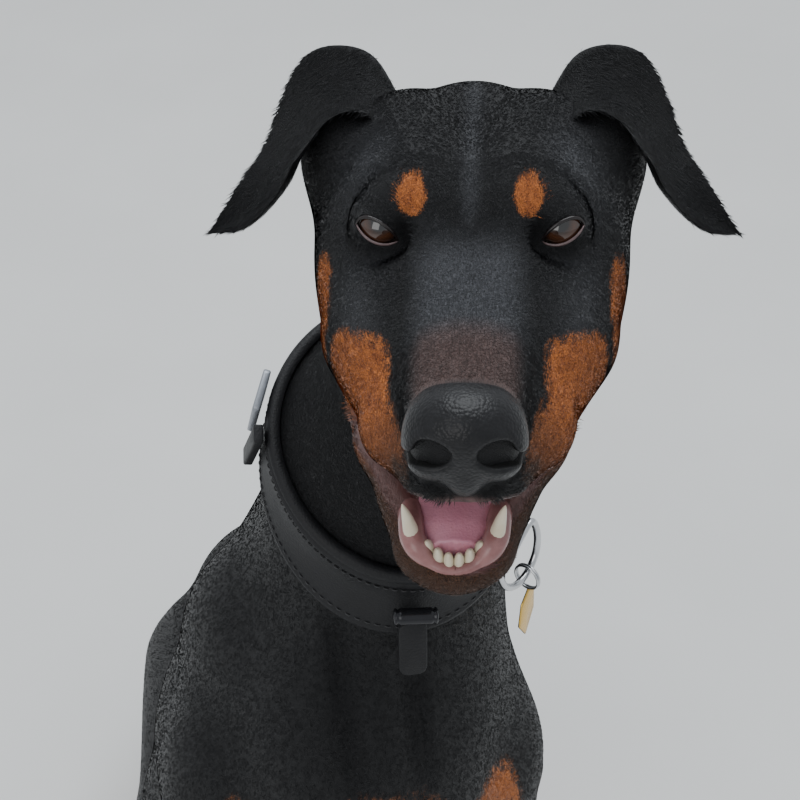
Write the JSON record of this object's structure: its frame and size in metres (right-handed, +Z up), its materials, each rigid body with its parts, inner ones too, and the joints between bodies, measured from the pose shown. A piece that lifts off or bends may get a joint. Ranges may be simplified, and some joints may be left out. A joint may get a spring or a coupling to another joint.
{
  "type": "doberman pinscher",
  "caption": "Adult dog sitting, head turned and raised to look up, mouth open, folded ears spread wide, wearing a wide collar with a hanging tag",
  "frame": {"origin": "on the floor, under the middle of the whole dog's box", "axes": "+X to the dog's left, -Y the way its body faces, +Z up"},
  "size_m": [0.3192, 0.8994, 0.9247],
  "materials": {
    "coat": "short glossy black coat with rust markings",
    "nose_skin": "damp pebbled black skin",
    "tongue": "wet pink",
    "eye": "wet brown eye",
    "collar_leather": "worn dark grey leather",
    "black_metal": "gloss black",
    "grey_plate": "satin grey",
    "silver": "polished",
    "brass": "worn satin"
  },
  "bodies": {
    "root": {"head": "coat", "lower_jaw": "coat", "nose": "nose_skin", "tongue": "tongue", "eye_left": "eye", "eye_right": "eye", "ear_left": "coat", "ear_right": "coat", "neck": "coat", "torso": "coat", "foreleg_left": "coat", "foreleg_right": "coat", "hindleg_left": "coat", "hindleg_right": "coat", "tail": "coat", "collar": "collar_leather", "collar_roller": "black_metal", "collar_tab": "collar_leather", "collar_plate": "grey_plate", "collar_keeper": "collar_leather", "d_ring": "silver", "split_ring": "silver", "tag": "brass"}
  },
  "joints": []
}
